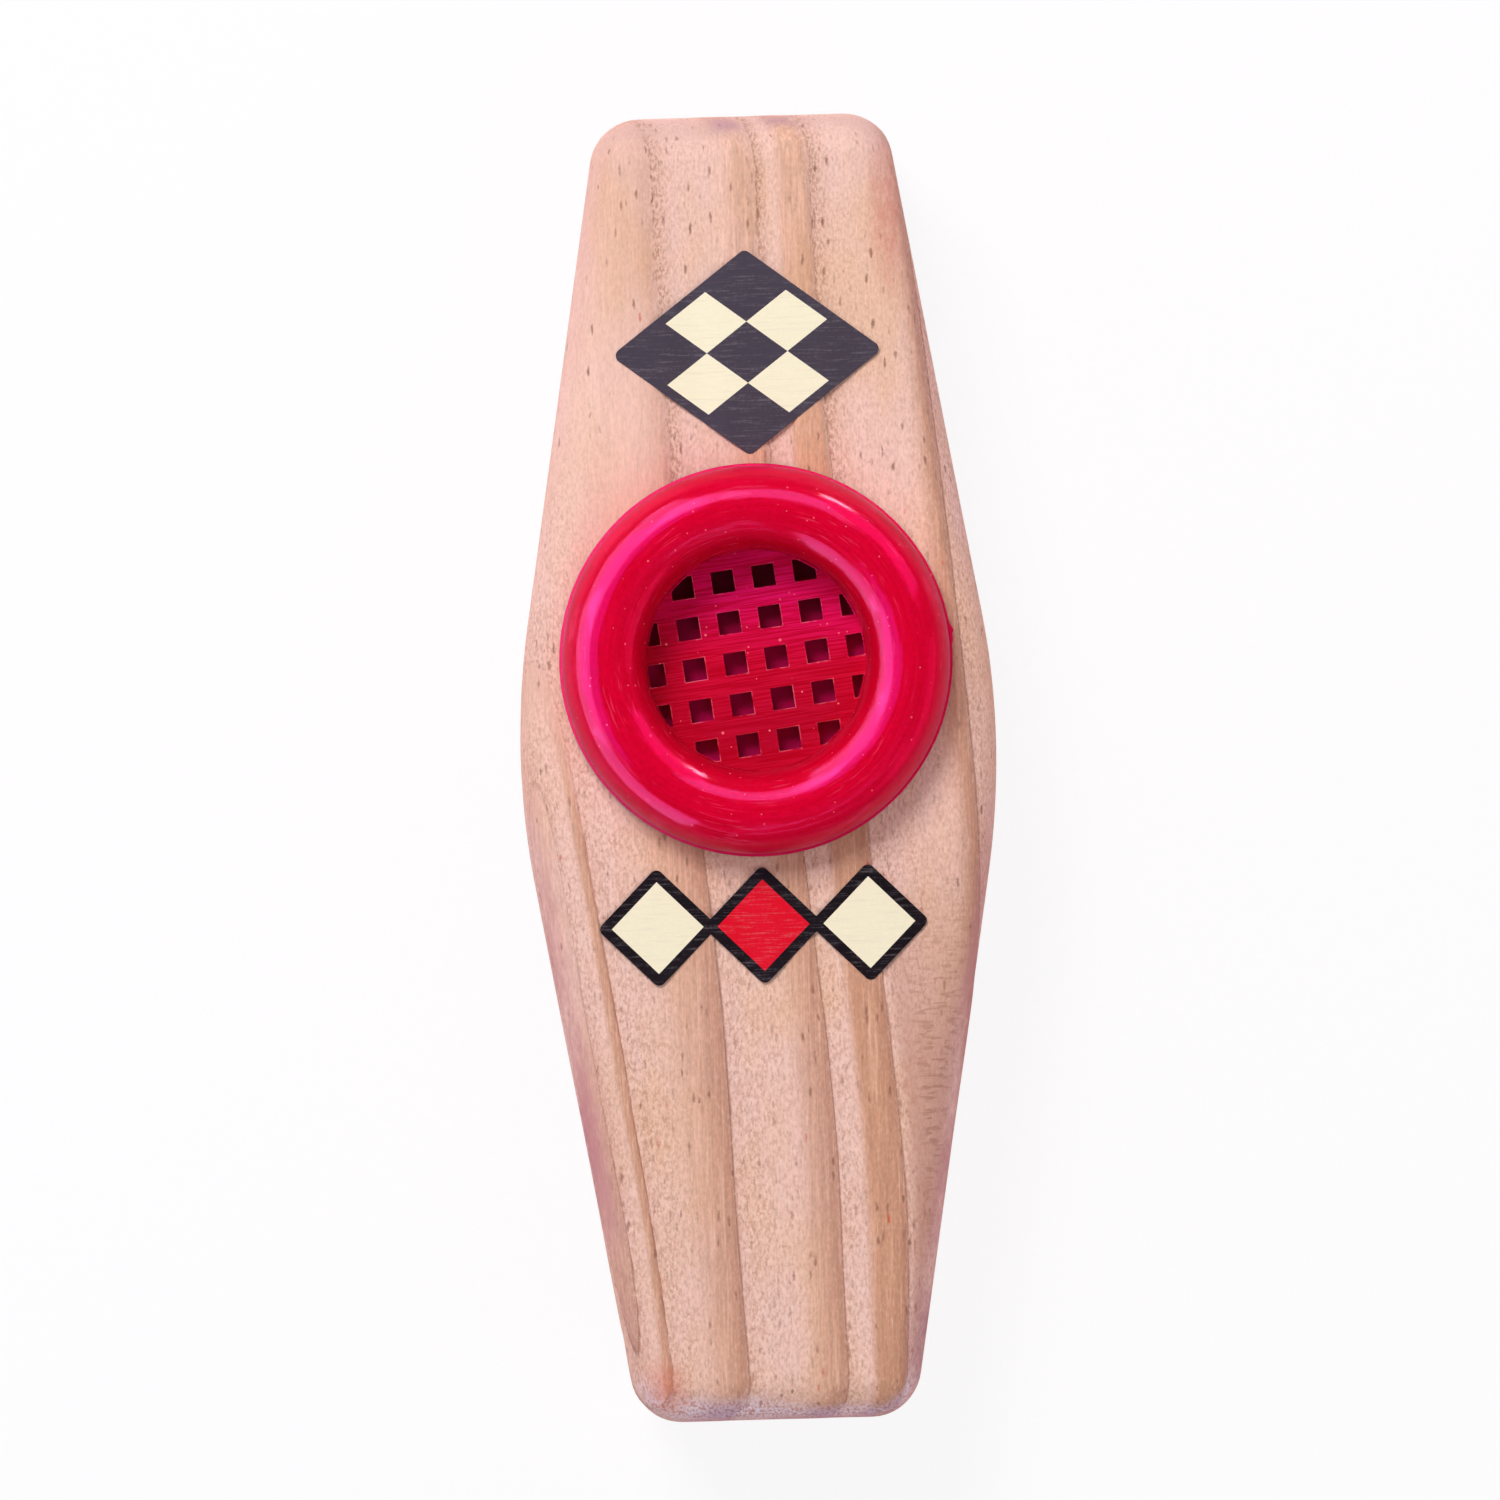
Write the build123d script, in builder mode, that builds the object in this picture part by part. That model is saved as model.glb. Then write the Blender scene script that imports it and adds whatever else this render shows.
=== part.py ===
from build123d import *
from math import ceil, floor
import os

# Wooden kazoo: a pine block with an air channel from end to end, and a screw-in cap that clamps a membrane.
# The block lies on its back. +Y runs to the head end, where the player hums, and +Z is the front face,
# with the cap. The origin is on the back face, at the middle of the length and width. Sizes are in mm.

# Wooden block: outline, thickness and rounding
body_length = 130.0
waist_width = 49.7  # across the two waist corners, before they are rounded
head_end_width = 28.9
tail_end_width = 27.6
waist_shift = 2.0  # from mid-length towards the head end
waist_radius = 80.0
body_thickness = 22.0
edge_radius = 4.5  # roll of the front and back edges
corner_land = 0.6  # corner radius left on the flat faces, inside the roll

# Air channel drilled from both ends
bore_height = 10.6  # of its axis, above the back face
mouth_bore_diameter = 10.5
exit_bore_diameter = 8.0
bore_ease = 0.6  # width of the countersink at each mouth

# Where the cap stands, and the depth of the pocket for its socket
cap_shift = 10.7  # from mid-length towards the head end
socket_depth = 5.0
glue_gap = 0.05

# Cap ring: a half-round ring over a threaded skirt
ring_diameter = 39.0
ring_height = 6.5  # of the crown above the front face
aperture_diameter = 21.8
flange_height = 0.8
flange_lip = 0.3  # how far the flange stands out past the half-round part
flange_gap = 0.2  # between the flange and the front face
skirt_wall = 1.2
skirt_gap = 0.2  # between the skirt's end and the membrane's rim
skirt_chamfer = 0.3
snap_lip = 0.4  # reach of the bead that keeps the grille in the skirt
snap_play = 0.1

# Grille: a plate of square holes that swivels inside the skirt
grille_seat = 1.3  # width of the plate's edge under the cap's shoulder
grille_thickness = 1.0
grille_pitch = 4.1
grille_hole = 2.2
grille_angle = 7.3  # the grid's turn from the length of the block, in degrees
grille_hole_rim = 0.1  # solid edge between the cut holes and the aperture
collar_height = 0.6
collar_gap = 0.15
clamp_width = 0.85
swivel_clearance = 0.1

# Socket: the insert glued into the pocket, with the thread inside it
socket_wall = 1.9
socket_floor = 1.0
socket_recess = 0.1  # of its top edge below the front face
thread_clearance = 0.08
thread_lead_in = 0.4

# Membrane: a film glued under a card rim
film_thickness = 0.1
rim_thickness = 0.5
rim_clearance = 0.2

# Stickers on the front face
sticker_thickness = 0.15
sticker_gap = 0.8  # clear of the cap ring
sticker_corner = 0.7
diamond_width = 27.0
diamond_height = 20.5
lozenge_count = 3
lozenge_width = 12.0
lozenge_height = 12.0
lozenge_overlap = 1.5

# Radii, from the aperture outwards
aperture_radius = aperture_diameter / 2
grille_radius = aperture_radius + grille_seat
swivel_radius = grille_radius + swivel_clearance
skirt_radius = swivel_radius + skirt_wall
thread_radius = skirt_radius + thread_clearance
socket_radius = thread_radius + socket_wall
pocket_radius = socket_radius + glue_gap
snap_radius = swivel_radius - snap_lip
collar_radius = snap_radius - collar_gap
chamber_radius = collar_radius - clamp_width
rim_radius = thread_radius - rim_clearance
ring_radius = ring_diameter / 2
crown_outer_radius = ring_radius - flange_lip
crown_radius = (crown_outer_radius - aperture_radius) / 2
crown_centre_radius = aperture_radius + crown_radius

# Heights, from the pocket's floor up
front = body_thickness
socket_seat = front - socket_depth
ledge = socket_seat + socket_floor
rim_base = ledge + film_thickness
clamp_face = rim_base + rim_thickness
plate_base = clamp_face + collar_height
shoulder = plate_base + grille_thickness
skirt_end = clamp_face + skirt_gap
snap_top = plate_base - snap_play
flange_base = front + flange_gap
flange_top = flange_base + flange_height
crown_top = front + ring_height
crown_base = crown_top - crown_radius

# The cap's axis, and an upright plane through it on which the turned pieces are drawn as (radius, height)
cap_axis = Axis((0, cap_shift, 0), (0, 0, 1))
cap_section = Plane(origin=(0, cap_shift, 0), x_dir=(1, 0, 0), z_dir=(0, -1, 0))
front_plane = Plane.XY.offset(front)

# Wooden body: a six-sided outline with a rounded waist and rolled edges
head_end = body_length / 2
tail_end = -body_length / 2
outline_points = [
    (head_end_width / 2, head_end),
    (-head_end_width / 2, head_end),
    (-waist_width / 2, waist_shift),
    (-tail_end_width / 2, tail_end),
    (tail_end_width / 2, tail_end),
    (waist_width / 2, waist_shift),
]
head_mouth = Plane(origin=(0, head_end, bore_height), z_dir=(0, 1, 0))
tail_mouth = Plane(origin=(0, tail_end, bore_height), z_dir=(0, -1, 0))

with BuildPart() as wooden_body:
    with BuildSketch() as outline:
        with BuildLine():
            Polyline(*outline_points, close=True)
        make_face()
        corners = outline.vertices().group_by(Axis.Y)
        fillet(corners[0] + corners[-1], radius=edge_radius + corner_land)
        waist = outline.vertices().sort_by(Axis.X)
        fillet([waist[0], waist[-1]], radius=waist_radius)
    extrude(amount=body_thickness)
    flat_faces = wooden_body.faces().filter_by(Axis.Z)
    fillet(flat_faces.edges(), radius=edge_radius)
    with Locations(head_mouth):
        CounterSinkHole(
            radius=mouth_bore_diameter / 2,
            counter_sink_radius=mouth_bore_diameter / 2 + bore_ease,
            depth=head_end - cap_shift,
            counter_sink_angle=90,
        )
    with Locations(tail_mouth):
        CounterSinkHole(
            radius=exit_bore_diameter / 2,
            counter_sink_radius=exit_bore_diameter / 2 + bore_ease,
            depth=cap_shift - tail_end,
            counter_sink_angle=90,
        )
    with Locations((0, cap_shift, front)):
        CounterBoreHole(
            radius=chamber_radius,
            counter_bore_radius=pocket_radius,
            counter_bore_depth=socket_depth,
            depth=front - bore_height,
        )
wooden_body.part.label = "wooden_body"

# Threaded socket: a cup with an open floor, whose ledge carries the membrane
with BuildPart() as threaded_socket:
    with BuildSketch(cap_section):
        with BuildLine():
            Polyline(
                (chamber_radius, socket_seat),
                (socket_radius, socket_seat),
                (socket_radius, front - socket_recess),
                (thread_radius + thread_lead_in, front - socket_recess),
                (thread_radius, front - socket_recess - thread_lead_in),
                (thread_radius, ledge),
                (chamber_radius, ledge),
                close=True,
            )
        make_face()
    revolve(axis=cap_axis)
threaded_socket.part.label = "threaded_socket"

# Membrane film: the thin sheet that buzzes, flat on the socket's ledge
with BuildPart() as membrane_film:
    with BuildSketch(Plane.XY.offset(ledge)):
        with Locations((0, cap_shift)):
            Circle(rim_radius)
    extrude(amount=film_thickness)
membrane_film.part.label = "membrane_film"

# Membrane rim: the card ring that the film is glued to
with BuildPart() as membrane_rim:
    with BuildSketch(Plane.XY.offset(rim_base)):
        with Locations((0, cap_shift)):
            Circle(rim_radius)
            Circle(chamber_radius, mode=Mode.SUBTRACT)
    extrude(amount=rim_thickness)
membrane_rim.part.label = "membrane_rim"

# Grille: a plate on a collar that presses on the rim, with square holes trimmed to the aperture
open_radius = min(aperture_radius, chamber_radius) - grille_hole_rim
hole_columns = 2 * ceil(open_radius / grille_pitch)
hole_rows = 2 * floor(open_radius / grille_pitch) + 1
grille_plane = Plane(
    origin=(0, cap_shift, plate_base), x_dir=Vector(1, 0, 0).rotate(Axis.Z, grille_angle), z_dir=(0, 0, 1)
)

with BuildPart() as grille:
    with BuildSketch(grille_plane):
        Circle(grille_radius)
    extrude(amount=grille_thickness)
    with BuildSketch(grille_plane):
        Circle(collar_radius)
        Circle(chamber_radius, mode=Mode.SUBTRACT)
    extrude(amount=-collar_height)
    with BuildSketch(grille_plane):
        with GridLocations(grille_pitch, grille_pitch, hole_columns, hole_rows):
            Rectangle(grille_hole, grille_hole)
        Circle(open_radius, mode=Mode.INTERSECT)
    extrude(amount=grille_thickness, mode=Mode.SUBTRACT)
grille.part.label = "grille"

# Cap ring: half-round crown, flange, threaded skirt, and the shoulder and snap bead that hold the grille
with BuildPart() as cap_ring:
    with BuildSketch(cap_section):
        with BuildLine():
            Polyline(
                (crown_outer_radius, crown_base),
                (crown_outer_radius, flange_top),
                (ring_radius, flange_top),
                (ring_radius, flange_base),
                (skirt_radius, flange_base),
                (skirt_radius, skirt_end + skirt_chamfer),
                (skirt_radius - skirt_chamfer, skirt_end),
                (snap_radius, skirt_end),
                (snap_radius, snap_top),
                (swivel_radius, snap_top),
                (swivel_radius, shoulder),
                (aperture_radius, shoulder),
                (aperture_radius, crown_base),
            )
            CenterArc((crown_centre_radius, crown_base), crown_radius, start_angle=0, arc_size=180)
        make_face()
    revolve(axis=cap_axis)
cap_ring.part.label = "cap_ring"

# Upper sticker: one wide diamond between the cap and the head end
diamond_points = [
    (diamond_width / 2, 0),
    (0, diamond_height / 2),
    (-diamond_width / 2, 0),
    (0, -diamond_height / 2),
]
diamond_centre = cap_shift + ring_radius + sticker_gap + diamond_height / 2

with BuildPart() as upper_sticker:
    with BuildSketch(front_plane) as diamond:
        with Locations((0, diamond_centre)):
            Polygon(*diamond_points)
        fillet(diamond.vertices(), radius=sticker_corner)
    extrude(amount=sticker_thickness)
upper_sticker.part.label = "upper_sticker"

# Lower sticker: a row of lozenges joined at their side corners
lozenge_points = [
    (lozenge_width / 2, 0),
    (0, lozenge_height / 2),
    (-lozenge_width / 2, 0),
    (0, -lozenge_height / 2),
]
lozenge_centre = cap_shift - ring_radius - sticker_gap - lozenge_height / 2

with BuildPart() as lower_sticker:
    with BuildSketch(front_plane) as lozenge_row:
        with Locations((0, lozenge_centre)):
            with GridLocations(lozenge_width - lozenge_overlap, 0, lozenge_count, 1):
                Polygon(*lozenge_points)
        fillet(lozenge_row.vertices(), radius=sticker_corner)
    extrude(amount=sticker_thickness)
lower_sticker.part.label = "lower_sticker"

pieces = [
    wooden_body,
    threaded_socket,
    membrane_film,
    membrane_rim,
    grille,
    cap_ring,
    upper_sticker,
    lower_sticker,
]
os.makedirs("parts", exist_ok=True)
for piece in pieces:
    export_step(piece.part, f"parts/{piece.part.label}.step")
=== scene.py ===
import math
import bmesh
import bpy
import numpy as np
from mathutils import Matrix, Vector


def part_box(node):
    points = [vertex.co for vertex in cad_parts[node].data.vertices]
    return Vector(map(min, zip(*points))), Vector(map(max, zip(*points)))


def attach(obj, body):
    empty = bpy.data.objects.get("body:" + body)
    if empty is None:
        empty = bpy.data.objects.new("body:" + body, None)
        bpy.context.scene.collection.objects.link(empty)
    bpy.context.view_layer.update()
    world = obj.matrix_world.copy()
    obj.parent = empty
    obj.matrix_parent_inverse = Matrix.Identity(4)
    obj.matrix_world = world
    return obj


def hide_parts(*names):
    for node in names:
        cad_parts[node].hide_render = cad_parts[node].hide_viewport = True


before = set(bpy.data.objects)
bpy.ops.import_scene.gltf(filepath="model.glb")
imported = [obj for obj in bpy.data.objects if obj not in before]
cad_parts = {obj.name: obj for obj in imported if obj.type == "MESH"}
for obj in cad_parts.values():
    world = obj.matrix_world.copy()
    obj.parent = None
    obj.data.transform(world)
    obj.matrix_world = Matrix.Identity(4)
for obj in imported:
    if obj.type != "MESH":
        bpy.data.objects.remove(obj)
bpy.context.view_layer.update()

# The wooden body is one block of pine, sawn to six sides, with its edges rolled over. Its faces are brushed,
# so the hard latewood of each growth ring stands up and the soft earlywood lies lower. The pocket for the
# socket and the two bores of the air channel are drilled.
mm = 0.001
body_low, body_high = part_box("wooden_body")
body_length = body_high.y - body_low.y
front = body_high.z
waist_width = 49.7 * mm
head_end_width = 28.9 * mm
tail_end_width = 27.6 * mm
waist_shift = 2.0 * mm
waist_radius = 80.0 * mm
edge_radius = 4.5 * mm
corner_radius = edge_radius + 0.6 * mm
sanding_allowance = 0.02 * mm

# The plan of the right-hand side, from the middle of the head end to the middle of the tail end: the three
# corners' turns, and the straight stretches that are left between their arcs.
head_run = Vector((waist_width / 2 - head_end_width / 2, waist_shift - body_length / 2))
tail_run = Vector((tail_end_width / 2 - waist_width / 2, -body_length / 2 - waist_shift))
head_heading = math.atan2(head_run.y, head_run.x)
tail_heading = math.atan2(tail_run.y, tail_run.x)
turns = np.array([-head_heading, head_heading - tail_heading, math.pi + tail_heading])
radii = np.array([corner_radius, waist_radius, corner_radius])
head_cut, waist_cut, tail_cut = radii * np.tan(turns / 2)
stretches = np.zeros(7)
stretches[::2] = [head_end_width / 2 - head_cut, head_run.length - head_cut - waist_cut,
                  tail_run.length - waist_cut - tail_cut, tail_end_width / 2 - tail_cut]
stretches[1::2] = turns * radii
headings = np.repeat([0, head_heading, tail_heading, -math.pi], 2)


def plan_curve(start, stretches, headings, stations, steps=20000):
    """A curve from its heading, which holds along straight stretches and changes evenly along arcs: its
    points are the running sum of small steps along it. Gives points and outward normals at even stations."""
    marks = np.concatenate([[0], np.cumsum(stretches)])
    along = np.linspace(0, marks[-1], steps + 1)
    middle = np.interp((along[1:] + along[:-1]) / 2, marks, headings)
    step = along[1]
    x = start[0] + np.concatenate([[0], np.cumsum(np.cos(middle) * step)])
    y = start[1] + np.concatenate([[0], np.cumsum(np.sin(middle) * step)])
    at = np.linspace(0, marks[-1], stations)
    heading = np.interp(at, marks, headings)
    points = np.stack([np.interp(at, along, x), np.interp(at, along, y)], -1)
    normals = np.stack([-np.sin(heading), np.cos(heading)], -1)
    return points, normals


side, side_out = plan_curve((0, body_length / 2), stretches, headings, stations=216)
side[[0, -1], 0] = 0
mirror = np.array([-1, 1])
plan_out = np.concatenate([side_out, side_out[-2:0:-1] * mirror])
plan = np.concatenate([side, side[-2:0:-1] * mirror]) - plan_out * sanding_allowance
spine_end = body_length / 2 - 14 * mm
flat_rows = 86
roll_rows = 20
side_rows = 18


def block_surface(plan, plan_out):
    """The block as rows from the front's middle line out to the edge, over the roll, down the side, under the
    other roll and in to the back's middle line. Each row is the plan drawn in by the roll's inset; on the
    flat faces a row lies part of the way from the middle line to the roll. Gives points and normals."""
    flat = np.linspace(0, 1, flat_rows)
    bend = np.linspace(0, math.pi / 2, roll_rows)[1:]
    down = np.linspace(0, 1, side_rows)[1:-1]
    back = bend[::-1]
    none, ones = np.zeros_like, np.ones_like
    reach = np.concatenate([flat, ones(bend), ones(down), ones(back), flat[::-1]])
    inset = np.concatenate([ones(flat), 1 - np.sin(bend), none(down), 1 - np.sin(back), ones(flat)])
    drop = np.concatenate([none(flat), 1 - np.cos(bend)]) * edge_radius
    depth = front - 2 * edge_radius
    height = np.concatenate([front - drop, front - edge_radius - down * depth, drop[::-1]])
    outward = np.concatenate([none(flat), np.sin(bend), ones(down), np.sin(back), none(flat)])
    upward = np.concatenate([ones(flat), np.cos(bend), none(down), -np.cos(back), -ones(flat)])
    drawn = plan[None] - plan_out[None] * (inset * edge_radius)[:, None, None]
    spine = np.stack([np.zeros(len(plan)), np.clip(drawn[0, :, 1], -spine_end, spine_end)], -1)
    level = spine[None] + reach[:, None, None] * (drawn - spine[None])
    points = np.concatenate([level, np.broadcast_to(height[:, None, None], level.shape[:2] + (1,))], -1)
    normals = np.concatenate([plan_out[None] * outward[:, None, None],
                              np.broadcast_to(upward[:, None, None], level.shape[:2] + (1,))], -1)
    return points, normals


# Growth rings run round a pith that lay to the left of the block and above it, slanted a little. Each ring
# has its own start and rise of the latewood, and its own depth of colour.
pith_x = -65 * mm
pith_z = 62 * mm
pith_slant = 0.053
ring_radii = np.array([38, 45, 52, 60.8, 62.6, 71.3, 79.9, 85.5, 95.6, 103, 111, 118]) * mm
latewood_from = np.array([0.35, 0.35, 0.30, 0.58, 0.36, 0.58, 0.32, 0.68, 0.4, 0.4, 0.4, 0.4])
latewood_rise = np.array([0.40, 0.40, 0.35, 0.18, 0.40, 0.18, 0.16, 0.24, 0.4, 0.4, 0.4, 0.4])
latewood_tan = np.array([0.6, 0.6, 0.1, 0.9, 0.68, 0.66, 1.0, 0.75, 0.7, 0.6, 0.7, 0.6])
left_rings = (62.6 * mm, 71.3 * mm)
left_slant = 0.068
left_pivot = -18.7 * mm
right_rings = (79.9 * mm, 85.5 * mm)
right_bend = 1.2 * mm
right_bend_span = (15 * mm, 55 * mm)
deep_brushed_span = (10 * mm, 45 * mm)
brushed_relief = 0.30 * mm
side_relief = 0.25
end_relief = 0.2


def smooth_step(low, high, value):
    """0 below low, 1 above high, and the cubic 3t2 - 2t3 between them."""
    t = np.clip((value - low) / (high - low), 0, 1)
    return t * t * (3 - 2 * t)


def growth(points):
    """Growth rings counted outwards to each point: its distance from the pith line, put through the ring
    boundaries' radii. The line wanders a little along the block, slants more in the rings near the left edge
    and bends near the head in those on the right. Whole numbers are boundaries."""
    x, y, z = points[..., 0], points[..., 1], points[..., 2]
    wander = 0.40 * np.sin(y / (17 * mm) + 0.7) + 0.16 * np.sin(y / (7.3 * mm) + x / (6 * mm) + 2.0)
    radius = np.hypot(x - pith_x + pith_slant * y, z - pith_z) + wander * mm
    radius = radius + left_slant * (y - left_pivot) * (1 - smooth_step(*left_rings, radius))
    radius = radius + right_bend * smooth_step(*right_bend_span, y) * smooth_step(*right_rings, radius)
    return np.interp(radius, ring_radii, np.arange(len(ring_radii)))


def near_head(points):
    """0 over the tail half, and 1 near the head end, where brushing went deeper and left rounder ridges."""
    return smooth_step(*deep_brushed_span, points[..., 1])


def hardness(points):
    """0 in soft earlywood and 1 in hard latewood: it rises over a stretch that is each ring's own, and drops
    again near the ring's outer edge, sooner at the head than at the tail."""
    rings = growth(points)
    ring = np.floor(rings).astype(int)
    share = rings - ring
    rising = smooth_step(latewood_from[ring], latewood_from[ring] + latewood_rise[ring], share)
    return rising * (1 - smooth_step(0.95 - 0.08 * near_head(points), 0.998, share))


def tan_colour(points):
    """How tan the wood is: its hardness, weighed by each ring's own depth of colour."""
    return hardness(points) * latewood_tan[np.floor(growth(points)).astype(int)]


def brushed_depth(points):
    """How deep brushing has gone: all of the relief in the softest wood, half as much again near the head,
    and none in the hardest. The upper left edge is worn nearly smooth, halfway between the two."""
    worn = 0.8 * smooth_step(-8 * mm, 8 * mm, points[..., 1]) * smooth_step(14 * mm, 18 * mm, -points[..., 0])
    depth = brushed_relief * (1 + 0.5 * near_head(points)) * (1 - hardness(points))
    return depth + worn * (0.5 * brushed_relief - depth)


def grid_mesh(name, points, closed_profile=False):
    """A mesh of quads between neighbouring rows and columns of a grid of points. Columns run round and meet;
    rows meet too where the profile is a closed loop. Points that coincide, as at a pole, are merged."""
    rows, columns = points.shape[:2]
    index = np.arange(rows * columns).reshape(rows, columns)
    beside = np.roll(index, -1, axis=1)
    below, below_beside = np.roll(index, -1, axis=0), np.roll(beside, -1, axis=0)
    quads = np.stack([index, beside, below_beside, below], -1)
    quads = quads if closed_profile else quads[:-1]
    mesh = bpy.data.meshes.new(name)
    mesh.from_pydata(points.reshape(-1, 3), [], quads.reshape(-1, 4))
    shell = bmesh.new()
    shell.from_mesh(mesh)
    bmesh.ops.remove_doubles(shell, verts=shell.verts, dist=0.001 * mm)
    bmesh.ops.recalc_face_normals(shell, faces=shell.faces)
    shell.to_mesh(mesh)
    shell.free()
    return mesh


def new_object(name, data):
    """An object for a mesh, a camera or a light, put into the scene."""
    added = bpy.data.objects.new(name, data)
    bpy.context.scene.collection.objects.link(added)
    return added


def new_piece(name, mesh, sharp_degrees):
    """An object for a mesh, smooth but for edges sharper than the given angle."""
    mesh.shade_smooth()
    mesh.set_sharp_from_angle(angle=math.radians(sharp_degrees))
    return new_object(name, mesh)


def grid_piece(name, points, sharp_degrees, closed_profile=False):
    """An object for a grid of points."""
    return new_piece(name, grid_mesh(name, points, closed_profile), sharp_degrees)


smooth_block, block_normals = block_surface(plan, plan_out)
faces_front = np.clip(block_normals[..., 2:], 0, 1)
faces_end = smooth_step(0.5, 0.95, np.abs(block_normals[..., 1:2]))
relief = brushed_depth(smooth_block)[..., None] * (side_relief + (1 - side_relief) * faces_front)
relief = relief * (1 - (1 - end_relief) * faces_end)
wooden_block = grid_piece("wooden_block", smooth_block - block_normals * relief, sharp_degrees=60)

# The drills: the pocket, with the chamber under it, and a bore from each end with its mouth eased.
cap_low, cap_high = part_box("cap_ring")
cap_y = (cap_low.y + cap_high.y) / 2
socket_low, socket_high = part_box("threaded_socket")
socket_radius = (socket_high.x - socket_low.x) / 2
glue_gap = 0.05 * mm
pocket_radius = socket_radius + glue_gap
chamber_radius = 10.9 * mm
bore_height = 10.6 * mm
mouth_bore_radius = 5.25 * mm
exit_bore_radius = 4.0 * mm
bore_ease = 0.6 * mm
past = 1 * mm


def turned(profile, columns):
    """A profile of (radius, distance) points turned about an axis: angle round by point along. Gives radius,
    angle and distance grids, rows along the profile and columns round it."""
    angle = np.linspace(0, 2 * math.pi, columns, endpoint=False)
    radius = np.broadcast_to(np.array(profile)[:, :1], (len(profile), columns))
    along = np.broadcast_to(np.array(profile)[:, 1:], (len(profile), columns))
    return radius, np.broadcast_to(angle, radius.shape), along


def about_cap_axis(radius, angle, height):
    """Points at a radius and angle from the cap's upright axis."""
    return np.stack([radius * np.cos(angle), cap_y + radius * np.sin(angle), height], -1)


pocket = [(0, bore_height), (chamber_radius, bore_height), (chamber_radius, socket_low.z),
          (pocket_radius, socket_low.z), (pocket_radius, front + past), (0, front + past)]
drills = [about_cap_axis(*turned(pocket, columns=128))]
for size, outward in ((mouth_bore_radius, 1), (exit_bore_radius, -1)):
    end = outward * body_length / 2
    bore = [(0, cap_y), (size, cap_y), (size, end - outward * bore_ease),
            (size + bore_ease + past, end + outward * past), (0, end + outward * past)]
    radius, angle, along = turned(bore, columns=64)
    drills.append(np.stack([radius * np.cos(angle), along, bore_height + radius * np.sin(angle)], -1))
for surface in drills:
    drill = new_object("drill", grid_mesh("drill", surface))
    cut = wooden_block.modifiers.new("drilled", "BOOLEAN")
    cut.operation = "DIFFERENCE"
    cut.solver = "EXACT"
    cut.object = drill
    drilled = wooden_block.evaluated_get(bpy.context.evaluated_depsgraph_get())
    drilled_mesh = bpy.data.meshes.new_from_object(drilled)
    wooden_block.modifiers.clear()
    wooden_block.data = drilled_mesh
    bpy.data.objects.remove(drill)
wooden_block.data.name = "wooden_block"
wooden_block.data.set_sharp_from_angle(angle=math.radians(40))

corners = np.empty(len(wooden_block.data.vertices) * 3)
wooden_block.data.vertices.foreach_get("co", corners)
for name, measure in (("growth", growth), ("hardness", hardness), ("tan", tan_colour)):
    measured = wooden_block.data.attributes.new(name, "FLOAT", "POINT")
    measured.data.foreach_set("value", measure(corners.reshape(-1, 3)))


def srgb(red, green, blue):
    """A colour given as 0 to 255 values on screen, as the linear colour that shaders take."""
    screen = np.array([red, green, blue]) / 255
    linear = np.where(screen <= 0.04045, screen / 12.92, ((screen + 0.055) / 1.055) ** 2.4)
    return (*linear, 1.0)


def set_inputs(node, inputs):
    """Sets a node's inputs, each to a value or by a link from another node's output."""
    for socket, value in inputs.items():
        if isinstance(value, bpy.types.NodeSocket):
            node.id_data.links.new(value, node.inputs[socket])
        else:
            node.inputs[socket].default_value = value


def first_node(tree, kind, **settings):
    """A shader node without inputs, in a node tree."""
    node = tree.nodes.new(kind)
    for name, value in settings.items():
        setattr(node, name, value)
    return node


def add_node(kind, inputs, **settings):
    """A shader node with its inputs, in the node tree that they are linked from."""
    source = next(value for value in inputs.values() if isinstance(value, bpy.types.NodeSocket))
    node = first_node(source.id_data, kind, **settings)
    set_inputs(node, inputs)
    return node


def maths(operation, *values, clamp=False):
    """The value of one Math node."""
    node = add_node("ShaderNodeMath", dict(enumerate(values)), operation=operation, use_clamp=clamp)
    return node.outputs[0]


def product(first, *others):
    """Values multiplied together."""
    for other in others:
        first = maths("MULTIPLY", first, other)
    return first


def line(value, slope, base):
    """A value times a slope, plus a base."""
    return maths("MULTIPLY_ADD", value, slope, base)


def mask(value, low, high):
    """A value taken to 0 at low and 1 at high, smoothly."""
    inputs = {"Value": value, "From Min": low, "From Max": high}
    return add_node("ShaderNodeMapRange", inputs, interpolation_type="SMOOTHSTEP").outputs["Result"]


def mix_colour(share, first, second, blend="MIX"):
    """Two colours mixed by a share. The colour sockets of the Mix node are its seventh and eighth."""
    inputs = {0: share, 6: first, 7: second}
    return add_node("ShaderNodeMix", inputs, data_type="RGBA", blend_type=blend).outputs[2]


def coated(colour, *coats):
    """A colour under coats of (share, colour), laid over it in turn."""
    for share, coat in coats:
        colour = mix_colour(share, colour, coat)
    return colour


def vector_maths(operation, inputs):
    """The vector from one Vector Math node."""
    return add_node("ShaderNodeVectorMath", inputs, operation=operation).outputs[0]


def vector_length(vector):
    """A vector's length."""
    return add_node("ShaderNodeVectorMath", {0: vector}, operation="LENGTH").outputs["Value"]


def axes(vector):
    """A vector's X, Y and Z."""
    return add_node("ShaderNodeSeparateXYZ", {"Vector": vector}).outputs


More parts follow.
